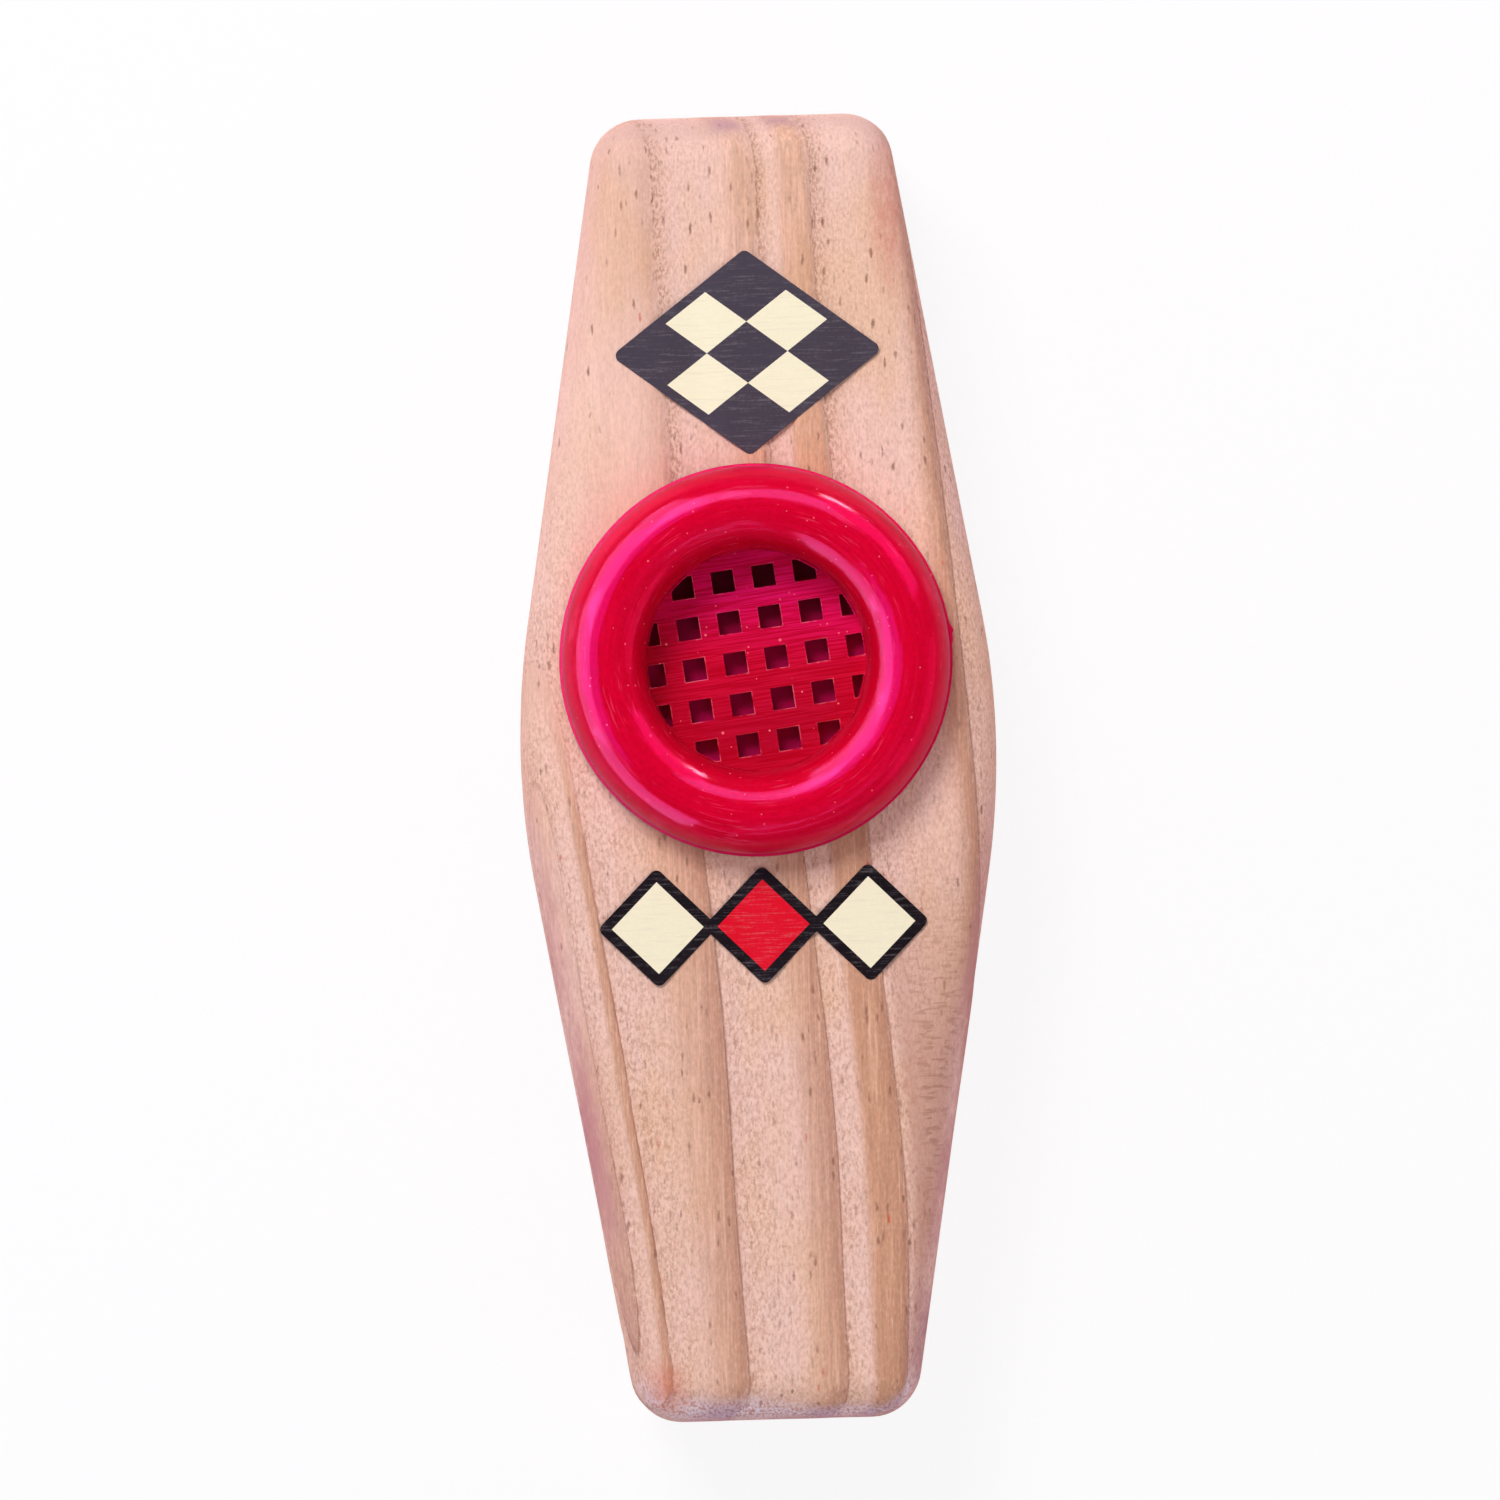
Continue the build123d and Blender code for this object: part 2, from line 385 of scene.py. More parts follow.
def millimetre_coordinates(tree, stretch=(1, 1, 1), turn=0.0, centre=(0, 0, 0)):
    """Object coordinates in millimetres from a centre, turned about the upright axis, and stretched."""
    place = first_node(tree, "ShaderNodeTexCoord").outputs["Object"]
    offset = vector_maths("SUBTRACT", {0: place, 1: centre})
    scaled = vector_maths("SCALE", {0: offset, "Scale": 1 / mm})
    turned_place = add_node("ShaderNodeMapping", {"Vector": scaled, "Rotation": (0, 0, turn)}).outputs[0]
    return vector_maths("MULTIPLY", {0: turned_place, 1: stretch})


def noise(vector, scale, detail=2.0, roughness=0.5):
    """Noise at so many waves per millimetre."""
    inputs = {"Vector": vector, "Scale": scale, "Detail": detail, "Roughness": roughness}
    return add_node("ShaderNodeTexNoise", inputs).outputs["Fac"]


def varied(value, amount, share=1.0):
    """A brightness about 1: noise about one half, spread by an amount and weighed by a share."""
    spread = product(maths("SUBTRACT", value, 0.5), amount)
    return line(spread, share, 1.0)


def brighten(colour, brightness):
    """A colour times a brightness."""
    return vector_maths("SCALE", {0: colour, "Scale": brightness})


def fine_relief(height, strength, distance):
    """The normal of a surface whose height, from 0 to 1, stands for a distance."""
    inputs = {"Height": height, "Strength": strength, "Distance": distance}
    return add_node("ShaderNodeBump", inputs).outputs["Normal"]


def scattered(vector):
    """Cells about random points: the distance from the nearest point, and three lots that each cell draws."""
    cells = add_node("ShaderNodeTexVoronoi", {"Vector": vector, "Scale": 1.0}).outputs
    return cells["Distance"], add_node("ShaderNodeSeparateColor", {"Color": cells["Color"]}).outputs


def new_material(name):
    """An empty material, its node tree and its Principled shader."""
    material = bpy.data.materials.new(name)
    material.use_nodes = True
    return material, material.node_tree, material.node_tree.nodes["Principled BSDF"]


# The textures of the wood, and where on the block a point lies. The ring boundaries are ragged, and crumble
# towards the head.
pine, tree, shader = new_material("brushed_pine")
rings, hard, tan = [first_node(tree, "ShaderNodeAttribute", attribute_name=name).outputs["Fac"]
                    for name in ("growth", "hardness", "tan")]
soft = maths("SUBTRACT", 1.0, hard)
fibres = noise(millimetre_coordinates(tree, (3.3, 0.09, 3.3)), 1.0, 3.0, 0.65)
flecks = noise(millimetre_coordinates(tree, (4.5, 0.7, 4.5)), 1.0, 2.0, 0.6)
grain_place = millimetre_coordinates(tree, (1.0, 0.5, 1.0))
grains = noise(grain_place, 3.9, 2.0, 0.65)
crumbs = noise(grain_place, 1.3, 3.0, 0.65)
patches = noise(millimetre_coordinates(tree, (1.0, 0.35, 1.0)), 0.16, 2.0, 0.5)
front_level = front / mm
half_length = body_length / mm / 2
x, y, z = axes(millimetre_coordinates(tree))
tailward = mask(y, 62.0, -20.0)
at_right = mask(x, 14.0, 17.0)
at_left = mask(x, -14.0, -19.0)
on_sides = mask(z, front_level - 2.5, front_level - 6.0)
headward = product(mask(y, 5.0, 40.0), line(at_right, -0.8, 1.0))
upper_left = product(mask(x, -5.0, -12.0), mask(y, -8.0, 15.0))
full_tone = line(upper_left, -0.65, 1.0)
crumbled = product(line(crumbs, 0.16, -0.08), headward)
ragged = maths("ADD", line(fibres, 0.03, -0.015), crumbled)
share = maths("FRACT", maths("ADD", rings, ragged))

# Colour: pink earlywood with ochre patches, and tan latewood in streaks, golden towards the head and paler at
# the upper left. It deepens to the ring's edge and ends there in a thin broken dark line, partly the ring's
# own line and partly a painted shadow of the latewood's step, which crumbles towards the head. The earlywood
# just past the line carries painted shade, deeper towards the head.
wood_colour = mix_colour(mask(patches, 0.40, 0.70), srgb(238, 198, 185), srgb(234, 191, 166))
tan_share = product(tan, line(tailward, 0.5, 0.5), full_tone)
golden = product(tan_share, mask(y, -10.0, 30.0), 0.5)
washed = product(upper_left, mask(y, 52.0, 34.0), 0.45)
deepest = line(maths("MAXIMUM", tailward, at_right), 0.36, 0.2)
deepening = product(mask(share, 0.70, 0.98), deepest, line(at_left, -0.85, 1.0))
# The dark line at each ring's edge is partly the ring's own line and partly a painted shadow of the
# latewood's step.
ring_line_and_shadow = maths("MAXIMUM", mask(share, 0.028, 0.0), mask(share, 0.985, 1.0))
ring_line_and_shadow = product(ring_line_and_shadow, mask(grains, 0.15, 0.55), line(headward, -0.4, 0.75),
                    full_tone, line(at_left, -0.55, 1.0))
crumbly = product(mask(share, 0.16, 0.0), mask(grains, 0.56, 0.40), headward, 0.55)
# Painted shade in the earlywood just past each ring line, deeper towards the head.
painted_shade_past_line = product(mask(share, 0.26, 0.0), line(headward, 0.2, 0.12))
wood_colour = coated(
    wood_colour,
    (product(on_sides, 0.6), srgb(230, 190, 158)),
    (tan_share, srgb(205, 153, 124)),
    (golden, srgb(216, 162, 116)),
    (washed, srgb(246, 206, 192)),
    (deepening, srgb(182, 128, 104)),
    (ring_line_and_shadow, srgb(142, 92, 70)),
    (crumbly, srgb(176, 128, 104)),
    (painted_shade_past_line, srgb(190, 140, 112)),
)
streaky = line(on_sides, 0.45, product(line(hard, 0.8, 0.2), full_tone))
wood_colour = brighten(wood_colour, varied(fibres, 0.65, streaky))
wood_colour = brighten(wood_colour, varied(flecks, 0.5, line(streaky, 0.6, 0.4)))
pale_streaks = product(mask(fibres, 0.56, 0.70), streaky, 0.3)
wood_colour = coated(wood_colour, (pale_streaks, srgb(240, 204, 184)))

# Grain: warm dark specks and pale ones, most of them in the soft earlywood just past a ring's edge.
speckled = product(soft, line(mask(share, 0.1, 0.6), -0.4, 1.0), line(on_sides, -0.6, 1.0),
                   line(mask(crumbs, 0.35, 0.65), -0.7, 1.3), line(headward, -0.45, 1.0))
dark_specks = product(mask(grains, 0.56, 0.34), line(speckled, 0.44, 0.16))
pale_specks = product(mask(grains, 0.52, 0.68), line(speckled, 0.3, 0.1))
wood_colour = mix_colour(dark_specks, wood_colour, (0.68, 0.54, 0.46, 1), "MULTIPLY")

# Pores: short dark dashes along the grain, more of them just past a ring's edge, and a few with red resin.
from_pore, lot = scattered(millimetre_coordinates(tree, (1.9, 0.6, 1.9)))
scarce = line(upper_left, 0.08, line(mask(share, 0.0, 0.4), 0.18, 0.63))
chosen = maths("GREATER_THAN", lot["Red"], scarce)
frayed = maths("ADD", from_pore, line(grains, 0.5, -0.25))
pores = product(chosen, mask(frayed, 0.42, 0.12), line(lot["Blue"], 0.65, 0.15))
resin = maths("GREATER_THAN", lot["Green"], 0.95)
pore_colour = mix_colour(resin, srgb(138, 92, 74), srgb(200, 70, 52))
wood_colour = coated(wood_colour, (pale_specks, srgb(252, 222, 208)), (pores, pore_colour))

# The rolled edges carry a painted lavender light spill, strongest towards the tail. The head's edge is dull,
# the tail's has a pale fuzz, and where latewood comes to either end it is blotched.
drop = line(mask(x, -4.0, 4.0), 0.7, z)
rolled = product(mask(drop, front_level - 0.1, front_level - 1.5),
                 mask(z, front_level - 7.0, front_level - 3.5))
spill_towards_tail = line(mask(y, 5.0, -25.0), 0.62, 0.08)
uneven = mask(line(crumbs, 0.6, patches), 0.55, 0.95)
left_corner = product(mask(x, -8.0, -12.0), mask(y, -42.0, -50.0))
# Painted lavender light spill on the rolled edges.
painted_lavender_spill = product(rolled, spill_towards_tail, uneven, line(left_corner, -0.8, 1.0))
end_edge = product(rolled, mask(z, front_level - 4.2, front_level - 1.6))
head_edge = product(end_edge, mask(y, half_length - 5.0, half_length - 1.5), 0.5)
fuzz = product(end_edge, mask(y, 6.0 - half_length, 2.5 - half_length), mask(grains, 0.36, 0.58))
at_ends = mask(maths("ABSOLUTE", y), half_length - 5.0, half_length - 1.5)
blotches = product(end_edge, at_ends, hard, mask(x, -11.0, -8.0), 0.45)
wood_colour = coated(wood_colour, (painted_lavender_spill, srgb(198, 138, 142)), (head_edge, srgb(206, 168, 158)),
                     (fuzz, srgb(240, 222, 228)), (blotches, srgb(158, 114, 142)))

# Resin has stained two places red, and two places on the rolled edges are painted dark purple, a painted
# shade
# with a painted lavender light spill: soft spots, by centre and half sizes.
for centre, size, depth, colour in (
    ((-11.0, -61.5, front_level - 1.0), (3.2, 4.0, 4.0), 0.5, srgb(214, 122, 98)),
    ((14.2, 55.0, front_level - 1.0), (2.6, 11.0, 4.0), 0.4, srgb(212, 124, 104)),
    ((-19.6, -37.0, front_level - 2.5), (4.2, 9.0, 5.0), 0.4, srgb(184, 112, 122)),
    ((15.2, -57.5, front_level - 2.5), (3.6, 8.0, 4.0), 0.4, srgb(160, 110, 122)),
):
    stretch = [1 / half for half in size]
    spot = millimetre_coordinates(tree, stretch, centre=[along * mm for along in centre])
    stained = product(mask(vector_length(spot), 1.0, 0.2), line(crumbs, 1.0, depth - 0.5))
    wood_colour = coated(wood_colour, (stained, colour))

# The wood is browner past the last ring line on the right, partly its own colour and partly painted shade,
# and tool ripples cross the roll there.
right_side = product(mask(rings, 7.0, 7.16), mask(y, -2.0, -34.0),
                     mask(z, front_level - 2.8, front_level - 1.0))
ripples = noise(millimetre_coordinates(tree, (0.6, 2.4, 0.6)), 1.0, 1.0, 0.5)
ripple_lines = product(right_side, mask(rings, 7.15, 7.3), mask(ripples, 0.52, 0.64))
wood_colour = coated(wood_colour, (product(right_side, 0.7), srgb(190, 138, 120)),
                     (product(ripple_lines, 0.4), srgb(150, 102, 82)))

# Fine relief: grainy earlywood, lengthwise fibres, sunken pores and ripples.
fine_height = product(grains, line(soft, 0.8, 0.3))
for detail, height in ((fibres, 0.5), (pores, -0.45), (ripple_lines, -0.35)):
    fine_height = line(detail, height, fine_height)
set_inputs(shader, {
    "Base Color": wood_colour, "Roughness": 0.75, "Specular IOR Level": 0.04,
    "Normal": fine_relief(fine_height, 1.0, 0.11 * mm),
})


def fit_piece(piece, material, body, node):
    """Gives a piece its material, sets it on a body, and lets it stand for a CAD node."""
    piece.data.materials.clear()
    piece.data.materials.append(material)
    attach(piece, body)
    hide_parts(node)


fit_piece(wooden_block, pine, "kazoo_body", "wooden_body")

# The socket is a dark moulded plastic cup with an open floor, glued into the pocket. Its inside carries the
# thread that the cap screws into, and its ledge carries the membrane.
thread_lead = 2.0 * mm
thread_depth = 0.5 * mm
thread_play = 0.15 * mm
thread_rows = 40
male_root = 13.3 * mm
female_root = male_root + thread_depth + thread_play
foot_chamfer = 0.2 * mm
top_chamfer = 0.1 * mm
lead_in = 0.2 * mm
run_out = 0.4 * mm
root_run_out = 0.5 * mm
ledge = socket_low.z + 1.0 * mm


def thread_ridge(angle, height):
    """A right-hand thread's ridge, 1 on the crest and 0 in the root: a wave in height less the share of a
    turn, with sloping flanks. Turned and raised together by the lead, it falls on itself."""
    wave = np.mod(height / thread_lead - angle / (2 * math.pi), 1)
    return smooth_step(0.28, 0.62, 1 - np.abs(2 * wave - 1))


thread_top = socket_high.z - run_out
outer_profile = [
    (chamber_radius, ledge), (chamber_radius, socket_low.z), (socket_radius - foot_chamfer, socket_low.z),
    (socket_radius, socket_low.z + foot_chamfer), (socket_radius, socket_high.z - top_chamfer),
    (socket_radius - top_chamfer, socket_high.z), (female_root + lead_in, socket_high.z),
]
thread_profile = [(female_root, height) for height in np.linspace(thread_top, ledge, thread_rows)]
radius, angle, along = turned(outer_profile + thread_profile, columns=192)
cut_thread = smooth_step(thread_top, thread_top - run_out, along)
cut_thread = cut_thread * smooth_step(ledge, ledge + root_run_out, along)
cut_thread = cut_thread * (np.arange(len(radius)) >= len(outer_profile))[:, None]
radius = radius - thread_depth * cut_thread * (1 - thread_ridge(angle, along))
socket = grid_piece("socket_cup", about_cap_axis(radius, angle, along), 40, closed_profile=True)
dark_plastic, tree, shader = new_material("dark_moulded_plastic")
flow = noise(millimetre_coordinates(tree), 0.8, 3.0, 0.6)
set_inputs(shader, {
    "Base Color": mix_colour(flow, (0.030, 0.010, 0.014, 1), (0.070, 0.026, 0.036, 1)),
    "Roughness": line(flow, 0.25, 0.35),
})
fit_piece(socket, dark_plastic, "kazoo_body", "threaded_socket")

# The membrane is a thin red film, slack enough to buzz, glued under its card rim and lying on the socket's
# ledge. Its dye is uneven, and it is painted darker towards the head end, a painted shadow of the cap's wall.
film_low, film_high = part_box("membrane_film")
film_radius = (film_high.x - film_low.x) / 2
film_sag = 0.16 * mm
pucker_depth = 0.05 * mm
cap_centre = (0, cap_y, 0)


def film_sheet(rings, columns):
    """A disc from its middle out over the top and back underneath. The part that is free to buzz sags and has
    slight radial puckers, which fade out at the middle and at the clamped rim."""
    out = np.linspace(0, 1, rings)
    reach = np.concatenate([out, out[::-1]])[:, None] * film_radius
    angle = np.linspace(0, 2 * math.pi, columns, endpoint=False)[None]
    free = np.clip(1 - (reach / chamber_radius) ** 2, 0, 1)
    puckers = np.sin(9 * angle + 0.8) + 0.7 * np.sin(14 * angle + 2.1) + 0.5 * np.sin(23 * angle)
    sag = free * (film_sag + pucker_depth * puckers * (reach / chamber_radius) ** 2)
    face = np.concatenate([np.full(rings, film_high.z), np.full(rings, film_low.z)])[:, None]
    return about_cap_axis(reach + 0 * angle, angle + 0 * reach, face - sag)


film = grid_piece("membrane_sheet", film_sheet(rings=40, columns=144), sharp_degrees=50)
red_film, tree, shader = new_material("red_film")
haze = noise(millimetre_coordinates(tree), 0.5, 3.0, 0.6)
along_body = axes(millimetre_coordinates(tree, centre=cap_centre))["Y"]
dyed = mix_colour(haze, (0.41, 0.001, 0.050, 1), (0.51, 0.002, 0.090, 1))
set_inputs(shader, {
    # Painted shadow: the film is darker towards the head end.
    "Base Color": coated(dyed, (mask(along_body, 0.0, 9.0), (0.10, 0.001, 0.010, 1))),
    "Roughness": line(haze, 0.3, 0.35), "Specular IOR Level": 0.035,
})
fit_piece(film, red_film, "kazoo_body", "membrane_film")

# The membrane's rim is a ring die-cut from plain card. The film is glued under it, and it keeps the film flat
# and takes the grille's pressure.
rim_low, rim_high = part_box("membrane_rim")
rim_radius = (rim_high.x - rim_low.x) / 2
cut_edge = 0.08 * mm
rim_profile = [
    (chamber_radius, rim_low.z + cut_edge), (chamber_radius + cut_edge, rim_low.z),
    (rim_radius - cut_edge, rim_low.z), (rim_radius, rim_low.z + cut_edge),
    (rim_radius, rim_high.z - cut_edge), (rim_radius - cut_edge, rim_high.z),
    (chamber_radius + cut_edge, rim_high.z), (chamber_radius, rim_high.z - cut_edge),
]
rim = grid_piece("card_ring", about_cap_axis(*turned(rim_profile, columns=144)), 60, closed_profile=True)
card, tree, shader = new_material("plain_card")
pulp = noise(millimetre_coordinates(tree), 3.0, 4.0, 0.65)
set_inputs(shader, {
    "Base Color": mix_colour(pulp, srgb(196, 184, 160), srgb(228, 218, 196)),
    "Roughness": 0.85, "Normal": fine_relief(pulp, 0.4, 0.05 * mm),
})
fit_piece(rim, card, "kazoo_body", "membrane_rim")

# The grille is a red moulded plate with rows of square holes, snapped into the cap so that it swivels. It
# keeps the fine lines that the mould's milling left along the rows, and the holes' edges are a little blunt.
grille_turn = math.radians(7.3)
grille_pitch = 4.1 * mm
hole_half = 1.1 * mm
grille_mesh = bpy.data.meshes.new("grille_plate")
plate = bmesh.new()
plate.from_mesh(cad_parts["grille"].data)
bmesh.ops.remove_doubles(plate, verts=plate.verts, dist=0.001 * mm)
bmesh.ops.dissolve_limit(plate, angle_limit=math.radians(0.5), verts=plate.verts, edges=plate.edges)
plate.to_mesh(grille_mesh)
plate.free()
grille = new_piece("grille_plate_red", grille_mesh, sharp_degrees=35)
blunt = grille.modifiers.new("blunt_edges", "BEVEL")
blunt.width = 0.07 * mm
blunt.segments = 2
blunt.limit_method = "ANGLE"
blunt.angle_limit = math.radians(50)


def new_group(name, values, output):
    """A shader node group with a place and some values, by name and default, as inputs, and one output."""
    group = bpy.data.node_groups.new(name, "ShaderNodeTree")
    group.interface.new_socket("Place", in_out="INPUT", socket_type="NodeSocketVector")
    for label, value in values.items():
        given = group.interface.new_socket(label, in_out="INPUT", socket_type="NodeSocketFloat")
        given.default_value = value
    group.interface.new_socket(output, in_out="OUTPUT", socket_type="NodeSocketFloat")
    return group, group.nodes.new("NodeGroupInput").outputs, group.nodes.new("NodeGroupOutput")


dust, given, result = new_group("dust_specks", {"Speck Size": 0.08, "Share": 0.3}, "Specks")
from_speck, lot = scattered(given["Place"])
speck_size = product(given["Speck Size"], line(lot["Green"], 1.0, 0.4))
inside = maths("LESS_THAN", from_speck, speck_size)
picked = maths("LESS_THAN", lot["Red"], given["Share"])
set_inputs(result, {"Specks": product(inside, picked)})

fine_lines, given, result = new_group("fine_lines", {"Lines per mm": 4.0, "Length in mm": 10.0}, "Lines")
across = axes(given["Place"])
drawn_out = add_node("ShaderNodeCombineXYZ", {
    "X": maths("DIVIDE", across["X"], given["Length in mm"]),
    "Y": product(across["Y"], given["Lines per mm"]),
    "Z": maths("DIVIDE", across["Z"], given["Length in mm"]),
}).outputs[0]
set_inputs(result, {"Lines": noise(drawn_out, 1.0, 2.0, 0.6)})


def placed_group(group, **inputs):
    """The value that a group puts out, with its inputs given by name."""
    named = {name.replace("_", " "): value for name, value in inputs.items()}
    return add_node("ShaderNodeGroup", named, node_tree=group).outputs[0]


grille_red, tree, shader = new_material("scored_red_plastic")
row_place = millimetre_coordinates(tree, turn=-grille_turn, centre=cap_centre)
row = axes(row_place)
lines = placed_group(fine_lines, Place=row_place, Lines_per_mm=5.0, Length_in_mm=7.0)
dust_place = millimetre_coordinates(tree, centre=cap_centre)
specks = placed_group(dust, Place=dust_place, Speck_Size=0.11, Share=0.6)
scores = mask(lines, 0.42, 0.60)
# Painted sheen: the scored lines towards the head end are painted pale magenta, as if they caught the light.
painted_sheen_end = mask(line(row["X"], 0.25, row["Y"]), -1.0, 8.0)
# Painted shade: the plate is darker towards the tail end, and on the left where the cap's wall shades it.
shade = maths("ADD", mask(row["Y"], 1.0, -8.0), mask(row["X"], -5.0, -11.0), clamp=True)

# The holes' rims are worn pale in places, and paler on each hole's lower right side, a painted highlight: how
# far a point lies from the nearest square hole's edge, in mm.
pitch = grille_pitch / mm
beside = maths("SUBTRACT", maths("FRACT", maths("DIVIDE", row["X"], pitch)), 0.5)
above = maths("SUBTRACT", maths("FRACT", line(row["Y"], 1 / pitch, 0.5)), 0.5)
farther = maths("MAXIMUM", maths("ABSOLUTE", beside), maths("ABSOLUTE", above))
outside = maths("ABSOLUTE", line(farther, pitch, -hole_half / mm))
lower_right = mask(maths("SUBTRACT", beside, above), -0.25, 0.15)
wear = mask(noise(row_place, 0.8, 2.0, 0.6), 0.40, 0.66)
worn_and_lit_rim = product(mask(outside, 0.13, 0.05), wear, line(lower_right, 0.5, 0.12))
grille_colour = coated(
    mix_colour(scores, srgb(186, 3, 34), srgb(204, 5, 42)),
    (product(shade, 0.6), srgb(164, 2, 28)),
    (product(painted_sheen_end, line(scores, 0.55, 0.3)), srgb(228, 12, 104)),
    (worn_and_lit_rim, srgb(240, 110, 130)),
    (product(specks, line(painted_sheen_end, -0.6, 0.8)), srgb(250, 130, 140)),
)
set_inputs(shader, {
    "Base Color": grille_colour, "Roughness": line(scores, 0.18, 0.24),
    "Specular IOR Level": 0.14, "Specular Tint": (1.0, 0.25, 0.75, 1),
    "Normal": fine_relief(lines, 0.7, 0.05 * mm),
})
fit_piece(grille, grille_red, "grille_plate", "grille")

# The cap is a glossy red moulded ring, half-round above a thin flange, that screws into the socket by its
# skirt. Its flange still shows the nub where the mould was filled, and turning it in the fingers has left
# faint round streaks.
ring_radius = (cap_high.x - cap_low.x) / 2
skirt_end = cap_low.z
flange_base = skirt_end + 3.4 * mm
flange_top = flange_base + 0.8 * mm
flange_rise = 0.5 * mm
lip = 0.2 * mm
crown_outer = ring_radius - 0.3 * mm
crown_radius = (crown_outer - chamber_radius) / 2
crown_middle = chamber_radius + crown_radius
crown_base = cap_high.z - crown_radius
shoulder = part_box("grille")[1].z
wall_rows = 10
skirt_rows = 44
skirt_chamfer = 0.3 * mm
snap_radius = 11.9 * mm
snap_top = skirt_end + 0.3 * mm
snap_edge = 0.1 * mm
swivel_radius = 12.3 * mm
thread_gap = 0.1 * mm
nub_angle = math.radians(7.2)
nub_height = 0.34 * mm
nub_bumps = ((1.0, 0.0, 0.42), (0.55, -0.9, 0.30))
nub_inset = 0.12 * mm
nub_drop = 0.05 * mm


def round_corner(centre_radius, centre_height, size, first, last, steps):
    """An arc in the profile, by its centre, its size, and its first and last angles in degrees."""
    bend = np.radians(np.linspace(first, last, steps))
    return np.stack([centre_radius + size * np.cos(bend), centre_height + size * np.sin(bend)], -1)


skirt_foot = skirt_end + skirt_chamfer
wall_heights = np.linspace(shoulder, crown_base, wall_rows, endpoint=False)
cap_profile = np.concatenate([
    np.stack([np.full(wall_rows, chamber_radius), wall_heights], -1),
    round_corner(crown_middle, crown_base, crown_radius, 180, 0, steps=60),
    [(crown_outer, flange_top + flange_rise)],
    round_corner(crown_outer + lip, flange_top + lip, lip, 180, 265, steps=6),
    round_corner(ring_radius - lip, flange_top - lip, lip, 75, 0, steps=6),
    round_corner(ring_radius - lip, flange_base + lip, lip, 0, -90, steps=6),
    np.stack([np.full(skirt_rows, male_root), np.linspace(flange_base, skirt_foot, skirt_rows)], -1),
    [(male_root - skirt_chamfer, skirt_end), (snap_radius + snap_edge, skirt_end),
     (snap_radius, skirt_end + snap_edge), (snap_radius, snap_top - snap_edge),
     (snap_radius + snap_edge, snap_top), (swivel_radius, snap_top), (swivel_radius, shoulder)],
])
radius, angle, along = turned(cap_profile, columns=360)
on_skirt = np.isclose(radius, male_root) & (along <= flange_base)
threaded = smooth_step(skirt_foot, skirt_foot + run_out, along)
threaded = threaded * smooth_step(flange_base - thread_gap, flange_base - thread_gap - root_run_out, along)
radius = radius + thread_depth * threaded * on_skirt * thread_ridge(angle, along)
around = (np.mod(angle - nub_angle + math.pi, 2 * math.pi) - math.pi) * ring_radius
nub = sum(share * np.exp(-((around / mm - shift) / width) ** 2) for share, shift, width in nub_bumps)
at_lip = (radius > crown_outer + nub_inset) & (along < flange_top - nub_drop)
radius = radius + nub_height * nub * at_lip
cap = grid_piece("cap_ring_red", about_cap_axis(radius, angle, along), 45, closed_profile=True)

cap_red, tree, shader = new_material("glossy_red_plastic")
from_axis = millimetre_coordinates(tree, centre=cap_centre)
level_place = vector_maths("MULTIPLY", {0: from_axis, 1: (1, 1, 0)})
distance = vector_length(level_place)
heading = axes(vector_maths("NORMALIZE", {0: level_place}))
up = axes(from_axis)["Z"]


def round_noise(turns, rise, out, detail):
    """Noise drawn out into arcs round the cap: its place is the heading from the axis, times a number, and a
    sum of the height and the distance from the axis, each with its own weight."""
    arc_place = add_node("ShaderNodeCombineXYZ", {
        "X": product(heading["X"], turns), "Y": product(heading["Y"], turns),
        "Z": line(up, rise, product(distance, out)),
    }).outputs[0]
    return noise(arc_place, 1.0, detail, 0.6)


streaks = round_noise(2.2, 1.3, 3.2, 3.0)
scratch_glints = mask(round_noise(4.5, 2.0, 4.5, 2.0), 0.58, 0.70)
touched = mask(noise(from_axis, 0.22, 1.0, 0.5), 0.42, 0.58)
swells = noise(from_axis, 0.35, 1.0, 0.5)
specks = placed_group(dust, Place=from_axis, Speck_Size=0.09, Share=0.65)
cap_colour = mix_colour(mask(streaks, 0.35, 0.7), srgb(210, 2, 40), srgb(220, 3, 50))
cap_colour = brighten(cap_colour, varied(noise(from_axis, 2.2, 2.0, 0.6), 0.35))
cap_colour = coated(
    cap_colour,
    # Painted violet reflection at the outer edge.
    (product(mask(distance, 18.5, 19.1), 0.35), srgb(176, 6, 84)),
    # Painted shade in the well, darker towards the inner wall.
    (product(mask(distance, 12.8, 11.0), 0.45), srgb(150, 2, 20)),
    # Pale strokes: hairline scratches with painted highlights along them.
    (product(scratch_glints, touched, 0.45), srgb(238, 58, 100)),
    (product(specks, 0.6), srgb(250, 110, 130)),
)
rough = line(mask(streaks, 0.5, 0.75), 0.12, 0.12)
cap_height = line(streaks, 0.26, product(swells, 0.9))
set_inputs(shader, {
    "Base Color": cap_colour, "Roughness": line(mask(distance, 17.6, 18.6), 0.25, rough),
    "IOR": 1.30, "Specular Tint": (1.0, 0.17, 0.9, 1),
    "Normal": fine_relief(cap_height, 0.5, 0.12 * mm),
})
fit_piece(cap, cap_red, "cap", "cap_ring")

